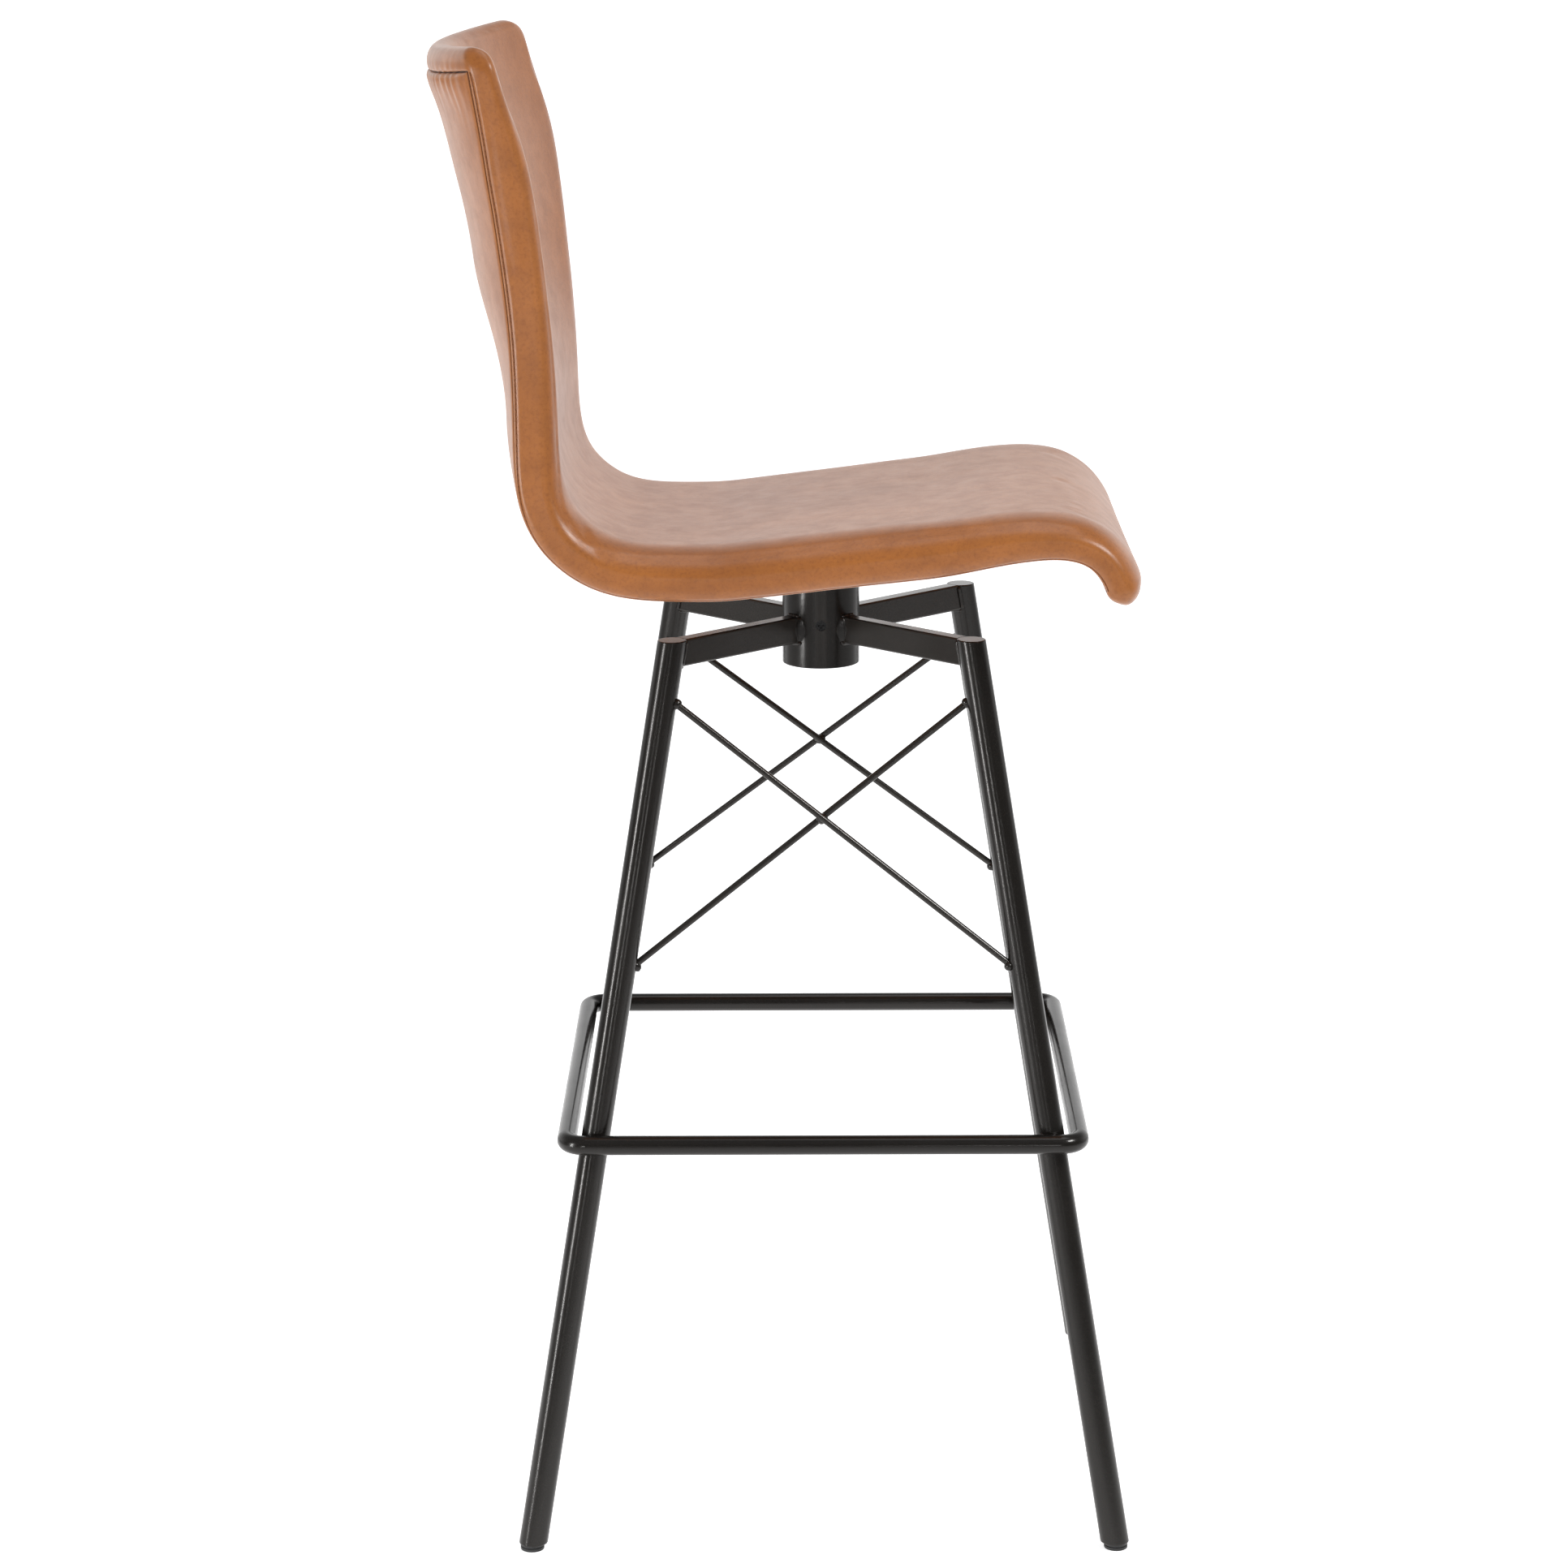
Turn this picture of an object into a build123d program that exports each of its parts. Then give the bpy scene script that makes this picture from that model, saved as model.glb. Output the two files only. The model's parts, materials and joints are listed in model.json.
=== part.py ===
from build123d import *
from math import cos, radians, sin, sqrt, tan
import os

# Bar stool: a welded steel base with a footrest ring, and an upholstered
# bent-plywood seat that swivels on the base's hub. Millimetres, +Z up, +X to
# the stool's front. The origin is on the floor, under the middle of the stool's
# outline, and the swivel axis stands a little in front of it. Everything is
# drawn about the swivel axis and moved to the origin when it is saved.

# ---- driving dimensions: base -------------------------------------------------

swivel_x = 28.5             # swivel axis, ahead of the origin

leg_diameter = 21.0
leg_wall = 2.0
leg_top_z = 665.0
leg_top_spread = 109.2      # leg's axis from the swivel axis, along X and along Y
leg_foot_spread = 216.2
leg_cap_thickness = 3.0
glide_height = 4.5
glide_diameter = 17.5
glide_groove_diameter = 16.0
glide_groove_height = 0.7
glide_plug_length = 16.0
glide_edge = 0.6
plug_clearance = 0.1

hub_diameter = 58.0
hub_wall = 5.0
hub_bottom_z = 626.0
hub_top_z = 693.0
arm_height = 20.0
arm_width = 12.0
arm_edge = 1.5              # rounding of the flat bar's long edges
tube_edge = 0.8             # rounding of the hub's and the legs' cut ends

footrest_diameter = 14.4
footrest_z = 303.0
footrest_half_x = 188.4     # centre line of the front and rear bars
footrest_bend = 14.5        # bend radius of the centre line
rod_diameter = 5.0
rod_high_z = 626.0
rod_low_z = 420.7
weld_gap = 0.02             # welded bars meet with this much room

# ---- driving dimensions: swivel -----------------------------------------------

bush_wall = 4.0
bush_length = 16.0
lower_bush_z = 628.0
running_clearance = 0.05
thrust_washer_height = 2.0
stem_bottom_z = 631.0
stem_bore = 28.0
stem_collar_diameter = 52.0
groove_z = 659.0
groove_width = 9.0
groove_depth = 3.5
screw_diameter = 8.0
screw_tip_diameter = 6.0
screw_tip_clearance = 0.7
screw_sink = 1.2            # screw's outer face, under the hub's surface
screw_slot_width = 1.4
screw_slot_length = 5.0
screw_slot_depth = 2.0

plate_size = 140.0
plate_thickness = 5.0
plate_corner = 14.0
plate_edge = 0.8
bolt_spacing = 100.0
bolt_diameter = 6.0
bolt_clearance = 0.3
bolt_head_diameter = 11.0
bolt_head_height = 4.0
bolt_tip = 3.0              # bolt's end, past the tee nut
washer_diameter = 16.0
washer_thickness = 1.5
tee_barrel_diameter = 9.0
tee_flange_diameter = 19.0
tee_flange_thickness = 1.5

# ---- driving dimensions: seat -------------------------------------------------

leather = 1.5
rear_foam = 4.0
board_thickness = 11.0
layer_gap = 0.4             # room between neighbouring layers
board_inset = 10.0          # padded edge to the plywood's side edges
end_margin = 15.5           # padded ends to the cross seams and to the plywood's ends
top_corner = 18.0           # corner radius of the back, seen from the front
front_corner = 14.0         # corner radius of the seat, seen from above

# Middle of the padding along a side edge, in X and Z, from the back's top down,
# round the bend and forward. The run over the swivel plate is straight.
seat_slope = 6.6            # degrees
plate_run_start = (-62.0, 722.9)
plate_run_length = 138.0
back_points = [
    (-236.8, 1097.4), (-221.4, 1029.8), (-210.4, 960.1), (-203.4, 891.6),
    (-201.7, 813.8), (-192.2, 759.7), (-158.2, 729.4), (-103.1, 721.5),
]
front_points = [(112.1, 744.9), (147.9, 750.0), (199.3, 740.2), (217.1, 702.0)]

# Half width, thickness and hollow of the padding at shares of that path.
width_shares = [0.0, 0.25, 0.5, 0.68, 0.9, 1.0]
half_widths = [170.0, 154.3, 168.0, 175.0, 185.0, 186.0]
thickness_shares = [0.0, 0.13, 0.35, 0.52, 0.75, 1.0]
thicknesses = [21.2, 33.9, 34.8, 37.0, 37.0, 27.2]
hollow_shares = [0.0, 0.2, 0.35, 0.47, 1.0]
hollows = [41.2, 31.1, 13.3, 0.8, 0.8]

# Rounding of the padding's long edges: small on the back, full and soft on the
# seat. The rolls on the front face go in across the width and down the side; the
# rear corners are as high as they are wide, and the side seams lie just inside them.
roll_shares = [0.0, 0.13, 0.35, 0.5, 0.65, 1.0]
roll_widths = [8.0, 17.0, 30.0, 36.0, 40.0, 36.0]
roll_depths = [0.30, 0.34, 0.42, 0.52, 0.56, 0.50]
corner_shares = [0.0, 0.35, 0.5, 0.75, 1.0]
rear_corners = [4.0, 4.0, 10.0, 11.0, 8.0]
seam_margin = 0.6           # rear corner to the side seam

# ---- derived dimensions -------------------------------------------------------

leg_lean = (leg_foot_spread - leg_top_spread) / leg_top_z
leg_bore = leg_diameter - 2 * leg_wall
hub_bore = hub_diameter - 2 * hub_wall
stem_diameter = hub_bore - 2 * (bush_wall + running_clearance)
collar_z = hub_top_z + thrust_washer_height
lean_vector = Vector(-leg_lean, -leg_lean, 1).normalized()
corner_names = ["front_left", "rear_left", "rear_right", "front_right"]
side_names = ["front", "left", "rear", "right"]
from_below = (Align.CENTER, Align.CENTER, Align.MIN)

# ---- helpers ------------------------------------------------------------------


def save(shape, node):
    """Write one node, moved from the swivel axis to the part's own origin."""
    placed = Pos(swivel_x, 0, 0) * shape
    placed.label = node
    export_step(placed, f"parts/{node}.step")


def bar(start, end, diameter):
    """Round bar between two points."""
    run = Vector(*end) - Vector(*start)
    return Plane(origin=start, z_dir=run) * Cylinder(diameter / 2, run.length, align=from_below)


def slab(low_z, high_z):
    """Everything between two heights."""
    return Pos(0, 0, low_z) * Box(900, 900, high_z - low_z, align=from_below)


def ring(outer, inner, low_z, height):
    """Upright ring on the swivel axis."""
    return Pos(0, 0, low_z) * (
        Cylinder(outer / 2, height, align=from_below)
        - Cylinder(inner / 2, height, align=from_below)
    )


def leg_spread(z):
    """Distance of a leg's axis from the swivel axis, along X and along Y."""
    return leg_foot_spread - leg_lean * z


def along_leg(low_z, high_z, diameter):
    """Bar on the front left leg's axis, cut level at two heights."""
    reach = diameter
    low, high = leg_spread(low_z - reach), leg_spread(high_z + reach)
    full = bar((low, low, low_z - reach), (high, high, high_z + reach), diameter)
    return full & slab(low_z, high_z)


def eased(shares, values, share):
    """Value at a share of the path, eased smoothly from each station to the next."""
    for index in range(len(shares) - 1):
        start, end = shares[index], shares[index + 1]
        if share <= end:
            way = (share - start) / (end - start)
            ease = way * way * (3 - 2 * way)
            return values[index] + (values[index + 1] - values[index]) * ease
    return values[-1]


# ---- base ---------------------------------------------------------------------


def make_hub():
    hub = ring(hub_diameter, hub_bore, hub_bottom_z, hub_top_z - hub_bottom_z)
    hub = fillet(hub.edges().sort_by(SortBy.LENGTH)[-2:], tube_edge)
    hole = bar((0, 0, groove_z), (0, -hub_diameter, groove_z), screw_diameter)
    return hub - hole


def make_leg():
    leg = along_leg(glide_height, leg_top_z, leg_diameter)
    rims = leg.edges().filter_by(GeomType.ELLIPSE)
    return fillet(rims, tube_edge) - along_leg(0, leg_top_z, leg_bore)


def make_leg_cap():
    return along_leg(leg_top_z - leg_cap_thickness, leg_top_z, leg_bore)


def make_glide():
    foot = leg_spread(0)
    pad = Cylinder(glide_diameter / 2, glide_height, align=from_below)
    groove = Cylinder(glide_diameter, glide_groove_height) - Cylinder(
        glide_groove_diameter / 2, glide_groove_height
    )
    pad -= Pos(0, 0, glide_height * 0.6) * groove
    pad = fillet(pad.faces().sort_by(Axis.Z)[0].edges(), glide_edge)
    plug = along_leg(glide_height, glide_height + glide_plug_length, leg_bore - 2 * plug_clearance)
    return Pos(foot, foot, 0) * pad + plug


def make_arm():
    """Flat bar on edge along the diagonal, coped round the hub and the leg."""
    reach = sqrt(2) * leg_top_spread
    blank = Box(reach, arm_width, arm_height, align=(Align.MIN, Align.CENTER, Align.MAX))
    blank = fillet(blank.edges().filter_by(Axis.X), arm_edge)
    blank = Rot(0, 0, 45) * Pos(0, 0, leg_top_z) * blank
    hub_blank = Cylinder(hub_diameter / 2, 2 * hub_top_z)
    return blank - hub_blank - along_leg(hub_bottom_z, leg_top_z + arm_height, leg_diameter)


def footrest_half_y():
    """Where the side bars' centre line touches the legs' outside."""
    spread = leg_spread(footrest_z)
    touch = (leg_diameter + footrest_diameter) / 2 + weld_gap
    across = Vector(1, 0, 0).cross(lean_vector).normalized()
    return spread + touch / abs(across.Y)


def make_footrest():
    half_y = footrest_half_y()
    outline = RectangleRounded(2 * footrest_half_x, 2 * half_y, footrest_bend)
    path = (Pos(0, 0, footrest_z) * outline).faces()[0].outer_wire()
    profile = Plane(origin=path @ 0, z_dir=path % 0) * Circle(footrest_diameter / 2)
    return sweep(profile, path=path)


def make_rod(rises, outward):
    """One brace rod on the front side, between the two front legs."""
    high, low = leg_spread(rod_high_z), leg_spread(rod_low_z)
    start = Vector(high, -rises * high, rod_high_z)
    end = Vector(low, rises * low, rod_low_z)
    offset = Vector(1, 0, leg_lean).normalized() * outward * (rod_diameter + weld_gap) / 2
    rod = bar(start + offset, end + offset, rod_diameter)
    for turn in (0, -90):
        rod -= Rot(0, 0, turn) * along_leg(rod_low_z - 60, rod_high_z + 30, leg_diameter)
    return max(rod.solids(), key=lambda piece: piece.volume)


# ---- swivel -------------------------------------------------------------------


def make_bush(low_z):
    return ring(hub_bore, hub_bore - 2 * bush_wall, low_z, bush_length)


def make_thrust_washer():
    return ring(hub_diameter - 1, stem_diameter + 1, hub_top_z, thrust_washer_height)


def make_screw():
    """Threaded retaining screw with a dog point that runs in the stem's groove."""
    outer = hub_diameter / 2 - screw_sink
    inner = hub_bore / 2
    tip = stem_diameter / 2 - groove_depth + screw_tip_clearance
    body = bar((0, -inner, groove_z), (0, -outer, groove_z), screw_diameter)
    body += bar((0, -tip, groove_z), (0, -inner, groove_z), screw_tip_diameter)
    slots = Box(screw_slot_length, screw_slot_depth, screw_slot_width)
    slots += Box(screw_slot_width, screw_slot_depth, screw_slot_length)
    return body - Pos(0, -outer + screw_slot_depth / 2, groove_z) * slots


# ---- seat ---------------------------------------------------------------------


def make_seat_path():
    level = Vector(cos(radians(seat_slope)), 0, sin(radians(seat_slope)))
    start = Vector(plate_run_start[0], 0, plate_run_start[1])
    end = start + level * plate_run_length
    back = [Vector(x, 0, z) for x, z in back_points]
    front = [Vector(x, 0, z) for x, z in front_points]
    rear_curve = Spline(*back, start, tangents=[(0.15, 0, -1), level])
    front_curve = Spline(end, *front, tangents=[level, (-0.05, 0, -1)])
    return Wire([rear_curve.edge(), Edge.make_line(start, end), front_curve.edge()])


seat_path = make_seat_path()
path_length = seat_path.length
end_stations = [0.0, 3.0, 8.0, end_margin]


def section_plane(distance):
    """Plane across the padding: its X is the stool's Y, its Y points to the sitter."""
    point = seat_path.position_at(distance, position_mode=PositionMode.LENGTH)
    along = seat_path.tangent_at(distance, position_mode=PositionMode.LENGTH)
    return Plane(origin=point, x_dir=(0, 1, 0), z_dir=along)


def rounding(distance, radius):
    """Share of the full size at a distance from a round end, from 0 to 1."""
    way = min(max(1 - distance / radius, 0), 1)
    return sqrt(max(1 - way * way, 0.04))


def outer_size(distance):
    """Half width, thickness and hollow of the padding, without its round ends."""
    share = distance / path_length
    width = eased(width_shares, half_widths, share)
    thickness = eased(thickness_shares, thicknesses, share)
    hollow = eased(hollow_shares, hollows, share)
    return width, thickness, hollow


def rear_corner(distance):
    """Size of the rear corner at a distance along the seat."""
    return eased(corner_shares, rear_corners, distance / path_length)


def soft_section(distance, inset):
    """Closed section of the padding, inset all round, with soft front rolls."""
    width, thickness, hollow = outer_size(distance)
    radius = thickness / 2 - inset
    from_top, from_front = distance - inset, path_length - inset - distance
    half_depth = radius * rounding(from_top, radius) * rounding(from_front, radius)
    narrowing = top_corner * (1 - rounding(from_top, top_corner))
    narrowing += front_corner * (1 - rounding(from_front, front_corner))
    side = width - inset - narrowing
    share = distance / path_length
    roll = eased(roll_shares, roll_widths, share) - inset
    corner = rear_corner(distance) - inset
    shrink = half_depth / radius
    drop = (eased(roll_shares, roll_depths, share) * thickness - inset) * shrink
    lift = corner * shrink

    def bow(y):
        return -hollow * (1 - (y / width) ** 2)

    def slope(y):
        return 2 * hollow * y / width**2

    rear_y, front_y = side - corner, side - roll
    rear_edge = bow(rear_y) - half_depth
    front_edge = bow(front_y) + half_depth
    low_side = bow(side) - half_depth + lift
    high_side = bow(side) + half_depth - drop
    pull = 0.55
    rear = ThreePointArc((-rear_y, rear_edge), (0, -half_depth - hollow), (rear_y, rear_edge))
    front = ThreePointArc((-front_y, front_edge), (0, half_depth - hollow), (front_y, front_edge))
    edges = [rear, front]
    for way in (1, -1):
        edges.append(Bezier(
            (way * rear_y, rear_edge),
            (way * (rear_y + pull * corner), rear_edge + pull * corner * slope(rear_y)),
            (way * side, low_side - pull * lift),
            (way * side, low_side),
        ))
        edges.append(Line((way * side, low_side), (way * side, high_side)))
        edges.append(Bezier(
            (way * side, high_side),
            (way * side, high_side + pull * drop),
            (way * (front_y + pull * roll), front_edge + pull * roll * slope(front_y)),
            (way * front_y, front_edge),
        ))
    return section_plane(distance) * make_face(edges)


def sheet_section(distance, inset, depth, thickness):
    """Closed section of a plain layer that starts at a depth under the rear face."""
    width, full, hollow = outer_size(distance)
    side = width - inset

    def bow(y):
        return -hollow * (1 - (y / width) ** 2)

    low = depth - full / 2
    high = low + thickness
    edge = bow(side)
    rear = ThreePointArc((-side, low + edge), (0, low - hollow), (side, low + edge))
    front = ThreePointArc((-side, high + edge), (0, high - hollow), (side, high + edge))
    right = Line((side, low + edge), (side, high + edge))
    left = Line((-side, low + edge), (-side, high + edge))
    return section_plane(distance) * make_face([rear, front, right, left])


def stations():
    """Distances of the sections, closer together at the ends and round the front edge."""
    steady = [54.0]
    while steady[-1] < path_length - 125:
        steady.append(steady[-1] + 25)
    while steady[-1] < path_length - 50:
        steady.append(steady[-1] + 12.5)
    return [28.0, 40.0] + steady


def make_padding(inset):
    """The padding's whole outside, inset all round."""
    near_end = [inset + distance for distance in end_stations]
    far_end = [path_length - distance for distance in reversed(near_end)]
    return loft([soft_section(d, inset) for d in near_end + stations() + far_end])


def sheet_stations(margin):
    """Distances of a layer's sections, from a margin under the top to the same at the front."""
    middle = [d for d in stations() if margin + 2 < d < path_length - margin - 2]
    return [margin] + middle + [path_length - margin]


def make_sheet(inset, depth, thickness, margin):
    """One plain layer of the seat, the same distance inside the padded edge all along."""
    distances = sheet_stations(margin)
    return loft([sheet_section(d, inset, depth, thickness) for d in distances])


def make_seam_sheet(gap, depth, thickness, margin):
    """One plain layer whose long edges follow the side seams, a gap inside them."""
    inset = seam_margin + gap
    distances = sheet_stations(margin)
    return loft([sheet_section(d, rear_corner(d) + inset, depth, thickness) for d in distances])


def plate_frame():
    """On the padding's underside, over the swivel axis; Z is the underside's upward normal."""
    slope = radians(seat_slope)
    rise = plate_run_start[1] - plate_run_start[0] * tan(slope)
    depth = thicknesses[3] / 2 + hollows[4]
    origin = Vector(0, 0, rise - depth / cos(slope))
    along = (cos(slope), 0, sin(slope))
    return Plane(origin=origin, x_dir=along, z_dir=(-sin(slope), 0, cos(slope)))


underside = plate_frame()
bolt_places = GridLocations(bolt_spacing, bolt_spacing, 2, 2).locations
board_top = leather + rear_foam + 2 * layer_gap + board_thickness


def at_bolts(shape):
    """Copies of a shape, one at each seat bolt."""
    return Compound([underside.location * place * shape for place in bolt_places])


def drill(shape, diameter):
    """The shape with a hole for each seat bolt."""
    for place in bolt_places:
        shape -= underside.location * place * Cylinder(diameter / 2, 100)
    return shape


def make_plate():
    outline = RectangleRounded(plate_size, plate_size, plate_corner)
    plate = extrude(outline, plate_thickness)
    plate = fillet(plate.faces().sort_by(Axis.Z)[0].edges(), plate_edge)
    plate = underside.location * Pos(0, 0, -layer_gap - plate_thickness) * plate
    return drill(plate, bolt_diameter + 2 * bolt_clearance)


def make_stem():
    top_z = underside.origin.Z
    stem = ring(stem_diameter, stem_bore, stem_bottom_z, top_z - stem_bottom_z)
    stem += ring(stem_collar_diameter, stem_bore, collar_z, top_z - collar_z)
    stem -= ring(hub_bore, stem_diameter - 2 * groove_depth, groove_z - groove_width / 2, groove_width)
    over = Box(plate_size, plate_size, 60, align=from_below)
    return stem - underside.location * Pos(0, 0, -layer_gap - plate_thickness) * over


def make_bolt():
    head_z = -layer_gap - plate_thickness - washer_thickness
    length = board_top + bolt_tip - head_z
    head = Cylinder(bolt_head_diameter / 2, bolt_head_height, align=from_below)
    shank = Cylinder(bolt_diameter / 2, length, align=from_below)
    bolt = Pos(0, 0, head_z - bolt_head_height) * head + Pos(0, 0, head_z) * shank
    socket = extrude(RegularPolygon(bolt_diameter * 0.46, 6), bolt_head_height * 0.6)
    return bolt - Pos(0, 0, head_z - bolt_head_height) * socket


def make_washer():
    washer = Cylinder(washer_diameter / 2, washer_thickness, align=from_below)
    washer -= Cylinder(bolt_diameter / 2 + bolt_clearance, washer_thickness, align=from_below)
    return Pos(0, 0, -layer_gap - plate_thickness - washer_thickness) * washer


def make_tee_nut():
    barrel_z = leather + rear_foam + 2 * layer_gap
    barrel = Cylinder(tee_barrel_diameter / 2, board_thickness, align=from_below)
    flange = Cylinder(tee_flange_diameter / 2, tee_flange_thickness, align=from_below)
    nut = Pos(0, 0, barrel_z) * barrel + Pos(0, 0, barrel_z + board_thickness + 0.1) * flange
    nut += Pos(0, 0, board_top - 0.2) * Cylinder(tee_barrel_diameter / 2, 0.4, align=from_below)
    return nut - Cylinder(bolt_diameter / 2 + 0.02, 200)


def make_board():
    depth = leather + rear_foam + 2 * layer_gap
    board = make_sheet(board_inset + layer_gap, depth, board_thickness, end_margin)
    return drill(board, tee_barrel_diameter + 0.1)


def make_rear_foam():
    depth = leather + layer_gap
    foam = make_sheet(board_inset + layer_gap, depth, rear_foam, end_margin)
    return drill(foam, bolt_diameter + 1)


def make_seat_foam():
    """Front foam that wraps the plywood's edges, with room for the tee nuts."""
    above = 3.0
    hollow = board_top + layer_gap + above
    foam = make_padding(leather + layer_gap)
    foam -= make_sheet(board_inset, -above, hollow, end_margin - layer_gap)
    for place in bolt_places:
        pocket = Cylinder(tee_flange_diameter / 2 + 0.5, 8, align=from_below)
        foam -= underside.location * place * Pos(0, 0, board_top - 2) * pocket
    return foam


def make_front_cover():
    """Leather over the front, the sides, the top edge and the front edge."""
    above = 3.0
    skin = make_padding(0) - make_padding(leather)
    return skin - make_seam_sheet(0, -above, leather + 1 + above, end_margin)


def make_back_cover():
    cover = make_seam_sheet(layer_gap, 0, leather, end_margin + layer_gap)
    return drill(cover, bolt_diameter + 1)


# ---- build --------------------------------------------------------------------


def main():
    os.makedirs("parts", exist_ok=True)
    save(make_hub(), "hub_tube")
    leg, cap, glide, arm = make_leg(), make_leg_cap(), make_glide(), make_arm()
    for index, corner in enumerate(corner_names):
        turn = Rot(0, 0, 90 * index)
        save(turn * leg, f"leg_{corner}")
        save(turn * cap, f"leg_cap_{corner}")
        save(turn * glide, f"glide_{corner}")
        save(turn * arm, f"arm_{corner}")
    save(make_footrest(), "footrest_ring")
    outer_rod, inner_rod = make_rod(1, 1), make_rod(-1, -1)
    for index, side in enumerate(side_names):
        turn = Rot(0, 0, 90 * index)
        save(turn * outer_rod, f"brace_rod_{side}_outer")
        save(turn * inner_rod, f"brace_rod_{side}_inner")
    save(make_bush(hub_top_z - bush_length), "hub_bush_upper")
    save(make_bush(lower_bush_z), "hub_bush_lower")
    save(make_thrust_washer(), "thrust_washer")
    save(make_screw(), "retaining_screw")
    save(make_stem(), "swivel_stem")
    save(make_plate(), "swivel_plate")
    save(at_bolts(make_bolt()), "plate_bolts")
    save(at_bolts(make_washer()), "plate_washers")
    save(at_bolts(make_tee_nut()), "tee_nuts")
    save(make_board(), "seat_shell")
    save(make_rear_foam(), "rear_foam")
    save(make_seat_foam(), "seat_foam")
    save(make_front_cover(), "front_cover")
    save(make_back_cover(), "back_cover")


main()
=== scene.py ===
import bmesh
import bpy
import json
import math
import numpy as np
from mathutils import Matrix, Vector
from mathutils.geometry import intersect_line_line


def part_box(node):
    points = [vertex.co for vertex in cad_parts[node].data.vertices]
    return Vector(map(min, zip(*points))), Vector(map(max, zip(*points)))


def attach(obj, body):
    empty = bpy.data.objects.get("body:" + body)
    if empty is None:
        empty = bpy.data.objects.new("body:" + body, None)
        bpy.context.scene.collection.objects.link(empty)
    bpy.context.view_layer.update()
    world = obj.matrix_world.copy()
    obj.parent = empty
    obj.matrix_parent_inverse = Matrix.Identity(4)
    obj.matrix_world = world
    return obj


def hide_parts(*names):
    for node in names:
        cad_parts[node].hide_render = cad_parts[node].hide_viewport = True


# Bar stool: leather-covered bent seat that swivels on a welded steel base. The
# CAD model is the frame; this script adds the leather, its seams and stitches,
# the welds and every finish. Seat shapes are worked out in millimetres from the
# swivel axis and moved to the frame's metres when a mesh is made.

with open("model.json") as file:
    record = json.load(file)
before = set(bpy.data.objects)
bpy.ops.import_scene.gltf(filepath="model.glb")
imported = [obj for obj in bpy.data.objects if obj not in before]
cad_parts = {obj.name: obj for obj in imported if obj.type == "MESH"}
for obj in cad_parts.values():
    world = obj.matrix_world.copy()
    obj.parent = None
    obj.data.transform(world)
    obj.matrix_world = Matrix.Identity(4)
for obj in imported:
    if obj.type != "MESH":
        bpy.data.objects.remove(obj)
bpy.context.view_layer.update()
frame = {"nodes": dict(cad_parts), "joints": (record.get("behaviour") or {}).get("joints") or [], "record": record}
nodes = frame["nodes"]
MM = 0.001
AXIS_X = frame["joints"][0]["pos_m"][0]

# ---- seat shape, as in the CAD model (mm, from the swivel axis) ----------------

SEAT_SLOPE = math.radians(6.6)
PLATE_RUN_START = (-62.0, 722.9)
PLATE_RUN_LENGTH = 138.0
BACK_POINTS = [
    (-236.8, 1097.4), (-221.4, 1029.8), (-210.4, 960.1), (-203.4, 891.6),
    (-201.7, 813.8), (-192.2, 759.7), (-158.2, 729.4), (-103.1, 721.5),
]
FRONT_POINTS = [(112.1, 744.9), (147.9, 750.0), (199.3, 740.2), (217.1, 702.0)]
TOP_HEADING = (0.15, -1)    # the side line's direction at the back's top
FRONT_HEADING = (-0.05, -1)
WIDTH_SHARES = [0.0, 0.25, 0.5, 0.68, 0.9, 1.0]
HALF_WIDTHS = [170.0, 154.3, 168.0, 175.0, 185.0, 186.0]
THICKNESS_SHARES = [0.0, 0.13, 0.35, 0.52, 0.75, 1.0]
THICKNESSES = [21.2, 33.9, 34.8, 37.0, 37.0, 27.2]
HOLLOW_SHARES = [0.0, 0.2, 0.35, 0.47, 1.0]
HOLLOWS = [41.2, 31.1, 13.3, 0.8, 0.8]
ROLL_SHARES = [0.0, 0.13, 0.35, 0.5, 0.65, 1.0]
ROLL_WIDTHS = [8.0, 17.0, 30.0, 36.0, 40.0, 36.0]     # rounding of the front face at the sides
ROLL_DEPTHS = [0.30, 0.34, 0.42, 0.52, 0.56, 0.50]    # its depth, as a share of the thickness
CORNER_SHARES = [0.0, 0.35, 0.5, 0.75, 1.0]
REAR_CORNERS = [4.0, 4.0, 10.0, 11.0, 8.0]
TOP_CORNER = 18.0
FRONT_CORNER = 14.0
SEAM_DROP = 15.5            # top edge to the top seam
FRONT_TUCK = 15.5           # front edge to the seam under it

# ---- leather and stitching ----------------------------------------------------

ROW_STEP = 4.5              # mesh spacing along the seat
SEAM_ROWS = [0.7, 1.8, 3.6]  # closer rows on both sides of the cross seams
START_INSET = 1.2           # the cover starts this much small, then swells
SWELL_LEAST, SWELL_MOST = 1.0, 2.0      # limits of the swell, along the outward normal
SWELL_PRESSURE, SWELL_FRAMES = 4, 20
BAND_BULGE = 2.6            # roundness of the sides
SEAM_PLACE = 0.12           # share of the rear corner that is behind the side seam
RIDGE_PLACE = 1.5           # folded edge beside the side seam, from the seam
GROOVE_PLACE = 3.1          # stitched line beside it
GROOVE_END = 4.7
SEAM_GAP = 0.4              # half of the gap between two covers at a seam
SEAM_DEPTH = 3.2
SEAM_PRESS = 0.5            # how far the top seam itself is pulled in
RIDGE_RISE = 0.35
GROOVE_DEPTH = 0.9
SEAM_FADE = 8.0             # length over which ridge and groove die out at their ends
GATHER_HEIGHT = 2.2         # gathers under the top seam
GATHER_REACH = 22.0
GATHER_PITCH = 14.0
PUFF_BELOW = 3.6            # the rear panel's rounded edge under the top seam
PUFF_REACH = 20.0
PUFF_ABOVE = 1.4
PUFF_REACH_ABOVE = 9.0
PUFF_EDGE = 1.6             # distance from the seam over which the puff rises
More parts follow.
